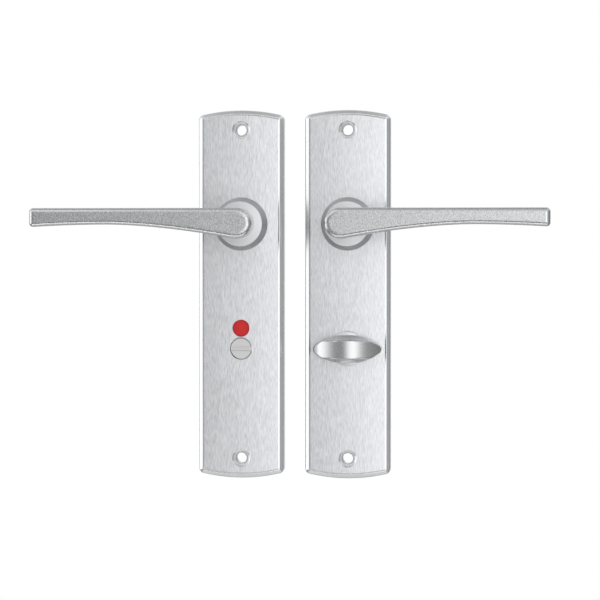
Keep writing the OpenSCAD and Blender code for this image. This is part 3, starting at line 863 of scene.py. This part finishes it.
def sector(inner, outer, start, stop, count=16):
    """Outline between two radii and two angles, counter-clockwise, with points along its straight ends."""
    near, far = arc(inner, start, stop, count)[::-1], arc(outer, start, stop, count)
    share = np.linspace(0, 1, 4)[1:-1, None]
    stop_side = far[-1] + (near[0] - far[-1]) * share
    start_side = near[-1] + (far[0] - near[-1]) * share
    return np.concatenate([far, stop_side, near, start_side])


# Both plastics have a faint mottle and the slight unevenness of a moulded face. Nylon is duller.
moulded_nylon = finish(
    "moulded_white_nylon", "#E6E4DB", (1.5, 1.5, 1.5), 0.05, (0.42, 0.55), 0.02, metallic=0.0, ior=1.53
)
red_plastic = finish(
    "moulded_red_plastic", "#DE0C10", (2.0, 2.0, 2.0), 0.06, (0.30, 0.42), 0.02, metallic=0.0
)

key_turn = np.arange(96) * 2 * np.pi / 96
key_hole = circle(keyed(COIN_RADIUS + 0.05, key_turn), 96)
disc_shells = flat_piece(circle(INDICATOR_RADIUS, 120), [key_hole], *DISC_DEPTHS)
sector_outline = sector(COIN_RADIUS + 0.3, INDICATOR_RADIUS, *SECTOR_TURN, 24)
make_piece(
    "indicator_disc_moulded", disc_shells, [moulded_nylon],
    "coin_turn", ["indicator_disc"], (outside_x, TURN_UP),
)
make_piece(
    "indicator_sector_moulded", flat_piece(sector_outline, [], *SECTOR_DEPTHS), [red_plastic],
    "coin_turn", ["indicator_red_sector"], (outside_x, TURN_UP),
)

# ---------------- strap, its screws and the leaf spring
# A pressed and zinc-plated steel strap, screwed to two posts, keeps the coin turn in the plate. Two
# ears on it hold a bent leaf spring against the turn's square barrel, so that it clicks.

STRAP_RADIUS = 14.0
STRAP_WIDTH = 9.0
STRAP_REACH = 23.0
STRAP_DEPTHS = (2.2, 3.3)
STRAP_HOLE = 6.68
STRAP_SCREW_HOLE = 1.6
LEAF = (7.35, 7.75, 10.4)
LEAF_DEPTHS = (3.7, 5.3)
LEAF_TURN = 2.0
EAR_UP = 9.15
SCREW_SHANK = 1.22
THREAD_DEPTH = 0.2
STRAP_SCREW = {"head_radius": 2.6, "head": (0.4, 2.2), "shank_end": 6.8, "arm": 1.6}

# Zinc plate is bright grey with faint clouds. Spring steel is darker, mottled by its tempering.
zinc_steel = finish(
    "zinc_plated_pressed_steel", "#C3C6CA", (3.0, 3.0, 3.0), 0.10, (0.25, 0.42), 0.004, detail=4.0
)
spring_steel = finish(
    "tempered_spring_steel", "#85878B", (1.4, 1.4, 1.4), 0.2, (0.28, 0.42), 0.004, detail=4.0
)

# Half the outline is the strap's round side, then its upper end; half a turn gives the other half.
lean = math.degrees(math.asin(STRAP_WIDTH / 2 / STRAP_RADIUS))
upper_end = rounded_box(STRAP_WIDTH, 12, 1.0, centre=(0, STRAP_REACH - 6))
upper_end = upper_end[upper_end[:, 1] > STRAP_RADIUS]
upper_end = upper_end[np.argsort(np.arctan2(upper_end[:, 1] - STRAP_RADIUS, upper_end[:, 0]))]
half_outline = np.concatenate([arc(STRAP_RADIUS, lean - 90, 90 - lean, 40), upper_end])
strap_outline = np.concatenate([half_outline, -half_outline])
strap_outline = strap_outline[np.r_[True, np.hypot(*np.diff(strap_outline, axis=0).T) > 0.05]]
strap_holes = [circle(STRAP_SCREW_HOLE, 32, (0, s * STRAP_POST)) for s in (-1, 1)]
strap_shells = flat_piece(strap_outline, [circle(STRAP_HOLE, 72), *strap_holes], *STRAP_DEPTHS, 0.15)
leaf_near, leaf_far, leaf_end = LEAF
for s in (-1, 1):
    ear = rounded_box(1.5, 1.5, 0.2, 4, (leaf_far + 0.85, s * EAR_UP))
    strap_shells += flat_piece(ear, [], STRAP_DEPTHS[0] + 0.3, LEAF_DEPTHS[1] + 0.1, 0.1)
make_piece(
    "coin_turn_retainer_pressed", strap_shells, [zinc_steel],
    "plates", ["coin_turn_retainer"], (outside_x, TURN_UP),
)

leaf_inner = leaf_end - (leaf_far - leaf_near)
hook = leaf_near + LEAF_TURN
upper_half = [(leaf_far, leaf_inner), (hook, leaf_inner), (hook, leaf_end), (leaf_near, leaf_end)]
lower_half = [(across, -up) for across, up in upper_half[::-1]]
make_piece(
    "coin_detent_spring_bent", flat_piece(np.array(upper_half + lower_half), [], *LEAF_DEPTHS, 0.05),
    [spring_steel], "plates", ["coin_detent_spring"], (outside_x, TURN_UP),
)


def screw(place, head_radius, head, shank_end, arm):
    """A pan-head screw seen from behind the plate: a domed head with a cross pressed into it, and a
    threaded shank whose rings swell and shrink each half millimetre. head is (back, front) depth."""
    back, front = head
    quarter = np.array([(arm, 0.28), (0.28, 0.28), (0.28, arm)])
    turn = np.arange(4) * np.pi / 2
    turned_by = np.array([[np.cos(turn), np.sin(turn)], [-np.sin(turn), np.cos(turn)]]).transpose(2, 0, 1)
    cross = (quarter @ turned_by).reshape(-1, 2)
    depths = np.arange(front + 0.4, shank_end - 0.3, 0.25)
    thread = np.where(np.arange(len(depths)) % 2 == 0, SCREW_SHANK, SCREW_SHANK - THREAD_DEPTH)
    profile = [
        (head_radius - 0.5, back), (head_radius - 0.15, back + 0.2), (head_radius, back + 0.5),
        (head_radius, front), (SCREW_SHANK, front), *zip(thread, depths, strict=True), (0.7, shank_end),
    ]
    body = [raised(circle(radius, 48, place), depth) for radius, depth in profile]
    pit = [raised(cross + place, back), raised(cross * 0.8 + place, back + 0.9)]
    face = sheet(body[0][:, :2], [cross + place], OPEN, back)
    return [(*face, 0), (*skin(pit, last_cap=True), 0), (*skin(body, last_cap=True), 0)]


screw_shells = [shell for s in (-1, 1) for shell in screw((0, s * STRAP_POST), **STRAP_SCREW)]
make_piece(
    "retainer_screws_cross", screw_shells, [zinc_steel],
    "plates", ["retainer_screws"], (outside_x, TURN_UP),
)

# ---------------- bearings, cages, springs and clips of the levers
# Behind each plate a nylon bush carries the hub. Round it is a zinc-plated cage with two lugs, two
# stops and a post. One leg of a coiled spring bears on the post, the other on the tab of a disc keyed
# to the hub, whose arm swings between the stops. A circlip in the hub's groove holds it all.

BUSH_BORE = 8.05
BUSH_FLANGE = 12.5
BUSH_TUBE = 9.5
BUSH_SEAT = BUSH_HOLE - 0.02
BUSH_FRONT = 9.8
CAGE_INNER = 15.6
CAGE_OUTER = 17.1
CAGE_FOOT = 13.0
CAGE_BACK = 2.0
LUG = (8.0, 8.3, 1.6)
LUG_UP = 20.35
LUG_DEPTHS = (4.4, 5.6)
CAGE_SCREW = {"head_radius": 2.4, "head": (2.8, 4.4), "shank_end": INNER_FACE + 0.3, "arm": 1.5}
# The arm's middle at rest, half its angle, its travel and the free angle beyond, in degrees.
ARM = (70.0, 10.3, 40.0, 1.3)
STOP_ANGLE = 12.0
STOP_RADII = (13.0, 16.2)
STOP_DEPTHS = (2.1, 3.4)
POST_SECTOR = (13.2, 16.2, 123.2, 131.0)
POST_DEPTHS = (5.2, 7.1)
DISC_RADIUS = 12.3
ARM_RADIUS = 15.0
DRIVER_DEPTHS = (2.0, 3.0)
TAB_RADII = (12.4, 14.6)
TAB_DEPTHS = (2.5, 4.6)
LEVER_CLIP = (7.45, 9.6, 1.0, 1.9)
WIRE_RADIUS = 0.6
# The spring's radius, the angle of its fixed leg, its turns, and its front and rear depths.
COIL = (10.6, 120.0, 1.9, 6.2, 3.9)


def lathe(profile, index=0):
    """A closed profile of (radius, depth) turned about the axis: its last ring joins its first."""
    return (*skin(turned([*profile, profile[0]])), index)


def wire(path, radius, sides=12):
    """A round wire along a path: at each point a circle across its direction, closed at both ends."""
    path = np.asarray(path, float)
    along = np.gradient(path, axis=0)
    along /= np.linalg.norm(along, axis=1)[:, None]
    side = np.cross(along, [0.0, 0, 1])
    side /= np.linalg.norm(side, axis=1)[:, None]
    third = np.cross(side, along)
    turn = np.arange(sides) * 2 * np.pi / sides
    ring = np.cos(turn)[None, :, None] * side[:, None] + np.sin(turn)[None, :, None] * third[:, None]
    rings = path[:, None] + radius * ring
    first = path[0] + ring[0] * radius * 0.7 - along[0] * radius / 4
    last = path[-1] + ring[-1] * radius * 0.7 + along[-1] * radius / 4
    return (*skin([first, *rings, last], first_cap=True, last_cap=True), 0)


def polar(radius, degrees, depth):
    """A point at a radius, an angle and a depth."""
    return (radius * math.cos(math.radians(degrees)), radius * math.sin(math.radians(degrees)), depth)


arm_middle, arm_half, travel, free = ARM
low_stop = arm_middle - arm_half - free
high_stop = arm_middle + travel + arm_half + free
cage_shells = [lathe([
    (CAGE_INNER, CAGE_BACK + 0.1), (CAGE_INNER + 0.1, CAGE_BACK), (CAGE_OUTER - 0.3, CAGE_BACK),
    (CAGE_OUTER, CAGE_BACK + 0.3), (CAGE_OUTER, INNER_FACE), (CAGE_FOOT, INNER_FACE), (CAGE_FOOT, 7.0),
    (CAGE_INNER - 0.4, 7.0), (CAGE_INNER, 6.6),
])]
for s in (-1, 1):
    lug = rounded_box(*LUG, 8, (0, s * LUG_UP))
    cage_shells += flat_piece(lug, [circle(1.4, 32, (0, s * CAGE_POST))], *LUG_DEPTHS, 0.12)
for start in (low_stop - STOP_ANGLE, high_stop):
    cage_shells += flat_piece(sector(*STOP_RADII, start, start + STOP_ANGLE), [], *STOP_DEPTHS, 0.15)
cage_shells += flat_piece(sector(*POST_SECTOR), [], *POST_DEPTHS, 0.12)

coil_radius, leg, turns, front, rear = COIL
last = leg + 360 * turns
steps = np.arange(1, 150) / 150
fixed_leg = [(14.5, -1.0), (13.4, -0.8), (12.4, -0.6), (11.3, 0.6)]
wound_leg = [(11.3, -0.6, 0.0), (12.4, 0.6, 0.08), (13.4, 0.8, 0.15), (14.3, 1.0, 0.15)]
spring_path = [polar(radius, leg + turn, front) for radius, turn in fixed_leg]
spring_path += [polar(coil_radius, leg + 360 * turns * k, front + (rear - front) * k) for k in steps]
spring_path += [polar(radius, last + turn, rear + rise) for radius, turn, rise in wound_leg]

disc_outline = np.concatenate([
    arc(DISC_RADIUS, arm_middle + arm_half, arm_middle - arm_half + 360, 110),
    arc(ARM_RADIUS, arm_middle - arm_half, arm_middle + arm_half, 14),
])
key_turn = np.arange(120) * 2 * np.pi / 120
hub_radius = np.minimum(HUB_RADIUS + 0.05, (HUB_FLAT + 0.05) / np.maximum(np.abs(np.sin(key_turn)), 1e-9))
hub_hole = circle(hub_radius, 120)
tab = sector(*TAB_RADII, arm_middle + 3.5, arm_middle + 10.0)
disc_shells = flat_piece(disc_outline, [hub_hole], *DRIVER_DEPTHS, 0.12)
disc_shells += flat_piece(tab, [], *TAB_DEPTHS, 0.12)


def circlip(inner, outer, low, high):
    """A flat spring ring, open at the top, with an eyelet at each end for the pliers."""
    shells = flat_piece(sector(inner, outer, 110, 430, 90), [], low, high, 0.06)
    for degrees in (108, 72):
        centre = polar(outer, degrees, 0)[:2]
        eyelet, eye = circle(1.3, 32, centre), circle(0.5, 20, centre)
        shells += flat_piece(eyelet, [eye], low + 0.02, high - 0.02, 0.06)
    return shells


bush_shells = [lathe([
    (BUSH_BORE, 3.7), (BUSH_BORE + 0.2, 3.5), (BUSH_TUBE - 0.2, 3.5), (BUSH_TUBE, 3.7), (BUSH_TUBE, 7.0),
    (BUSH_FLANGE - 0.15, 7.0), (BUSH_FLANGE, 7.15), (BUSH_FLANGE, 7.65), (BUSH_FLANGE - 0.1, INNER_FACE),
    (BUSH_SEAT, INNER_FACE), (BUSH_SEAT, BUSH_FRONT - 0.2), (BUSH_SEAT - 0.2, BUSH_FRONT),
    (BUSH_BORE, BUSH_FRONT),
])]

# The grub screws are steel blackened in hot oil, which leaves it dull and uneven.
black_steel = finish(
    "blackened_steel", "#2E2E31", (0.8, 0.8, 0.8), 0.3, (0.36, 0.52), 0.004, detail=3.0
)


def grub_screw():
    """A headless screw along u: a cup point, threads of half a millimetre and a six-sided socket,
    whose radius is its corner's times cos 30 over the cosine of the angle from the nearest flat."""
    up, hole_radius = GRUB
    crest = np.arange(4.6, 10.6, 0.3)
    thread = np.where(np.arange(len(crest)) % 2 == 0, hole_radius - 0.02, hole_radius - 0.22)
    turn = np.arange(48) * 2 * np.pi / 48
    six = 1.44 / np.cos((turn + np.pi / 6) % (np.pi / 3) - np.pi / 6) * math.cos(math.pi / 6)
    profile = [(1.2, 4.2), (1.6, 4.0), (2.2, 4.4), *zip(thread, crest, strict=True), (2.1, 11.0),
               (1.75, 11.0), (six, 10.75), (six, 8.5)]
    rings = [
        np.column_stack([np.full(48, along), radius * np.cos(turn), up + radius * np.sin(turn)])
        for radius, along in profile
    ]
    return [(*skin(rings, first_cap=True, last_cap=True), 0)]


clip_shells, grub_shells = circlip(*LEVER_CLIP), grub_screw()
cage_screws = []
for x in (outside_x, inside_x):
    for s in (-1, 1):
        cage_screws += screw((x, s * CAGE_POST), **CAGE_SCREW)
make_piece(
    "cage_screws_cross", cage_screws, [zinc_steel],
    "plates", ["cage_screws"], (0.0, LEVER_UP),
)
for half, x, mirrored in (("outside", outside_x, False), ("inside", inside_x, True)):
    axis = (x, LEVER_UP)
    lever = half + "_lever"
    # What rides on the plates, then what turns with the lever. The grub screw is on the other side.
    for name, shells, used, body, node, slot, turned_over in (
        ("_bush_moulded", bush_shells, moulded_nylon, "plates", "_lever_bush", "nylon", False),
        ("_cage_pressed", cage_shells, zinc_steel, "plates", "_spring_cage", "zinc_plated_steel", mirrored),
        ("_driver_pressed", disc_shells, zinc_steel, lever, "_driver_disc", "zinc_plated_steel", mirrored),
        ("_circlip_stamped", clip_shells, spring_steel, lever, "_circlip", "spring_steel", mirrored),
        ("_grub_screw_cut", grub_shells, black_steel, lever, "_grub_screw", "black_steel", not mirrored),
    ):
        make_piece(half + name, shells, [used], body, [half + node], axis, turned_over)
    spring = make_piece(
        half + "_spring_coiled", [wire(spring_path, WIRE_RADIUS)], [spring_steel],
        None, [], axis, mirrored, crease=50,
    )
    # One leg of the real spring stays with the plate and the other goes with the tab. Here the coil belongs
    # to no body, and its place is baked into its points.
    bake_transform(spring)
    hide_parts(half + "_return_spring")

# ---------------- the thumb turn's bush, wave washer and circlip
# The thumb turn's stem runs in a nylon bush. A wave washer and a circlip behind it keep it drawn in.

THUMB_BUSH = (STEM_RADIUS + 0.05, THUMB_HOLE - 0.02, 10.2)
WASHER_RADII = (6.9, 8.2)
WASHER_BACK = 4.35
WASHER_THICK = 0.4
WAVE = 0.12
THUMB_CLIP = (6.15, 7.9, 3.25, 4.05)

bore_radius, tube, flange = THUMB_BUSH
thumb_bush = lathe([
    (bore_radius, 5.2), (bore_radius + 0.2, 5.0), (tube - 0.15, 5.0), (tube, 5.15), (tube, 7.0),
    (flange - 0.1, 7.0), (flange, 7.1), (flange, 7.7), (flange - 0.1, INNER_FACE), (tube, INNER_FACE),
    (tube, BUSH_FRONT - 0.15), (tube - 0.15, BUSH_FRONT), (bore_radius, BUSH_FRONT),
])
make_piece(
    "thumb_bush_moulded", [thumb_bush], [moulded_nylon],
    "plates", ["thumb_turn_bush"], (inside_x, TURN_UP),
)
# The washer's depth swings three times round, as the cosine of three times the angle.
wave_turn = np.arange(96) * 2 * np.pi / 96
wave = WASHER_BACK + WAVE * np.cos(3 * wave_turn)
inner, outer = WASHER_RADII
washer = [raised(circle(radius), wave) for radius in (inner, outer)]
washer += [raised(circle(radius), wave + WASHER_THICK) for radius in (outer, inner)]
make_piece(
    "wave_washer_stamped", [(*skin([*washer, washer[0]]), 0)], [spring_steel],
    "thumb_turn", ["thumb_turn_wave_washer"], (inside_x, TURN_UP),
)
make_piece(
    "thumb_circlip_stamped", circlip(*THUMB_CLIP), [spring_steel],
    "thumb_turn", ["thumb_turn_circlip"], (inside_x, TURN_UP),
)

# ---------------- the two square spindles
# Drawn steel bars of 8 mm, sawn off, their ends chamfered, then zinc-plated.

SPINDLE_SIDE = 8.0
SPINDLE_CHAMFER = 0.5


def spindle(node):
    """A square bar as long as its CAD node, with slightly round corners and a chamfer at both ends."""
    low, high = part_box(node)
    back, front = -high.y / MM, -low.y / MM
    rings = []
    for cut, depth in [(1, back), (0, back + SPINDLE_CHAMFER), (0, front - SPINDLE_CHAMFER), (1, front)]:
        side = SPINDLE_SIDE - 2 * cut * SPINDLE_CHAMFER
        rings.append(raised(rounded_box(side, side, 0.35, 6), depth))
    return [(*skin(rings, first_cap=True, last_cap=True), 0)]


make_piece(
    "lever_spindle_drawn", spindle("lever_spindle"), [zinc_steel],
    "outside_lever", ["lever_spindle"], (outside_x, LEVER_UP),
)
make_piece(
    "privacy_spindle_drawn", spindle("privacy_spindle"), [zinc_steel],
    "thumb_turn", ["privacy_spindle"], (inside_x, TURN_UP),
)
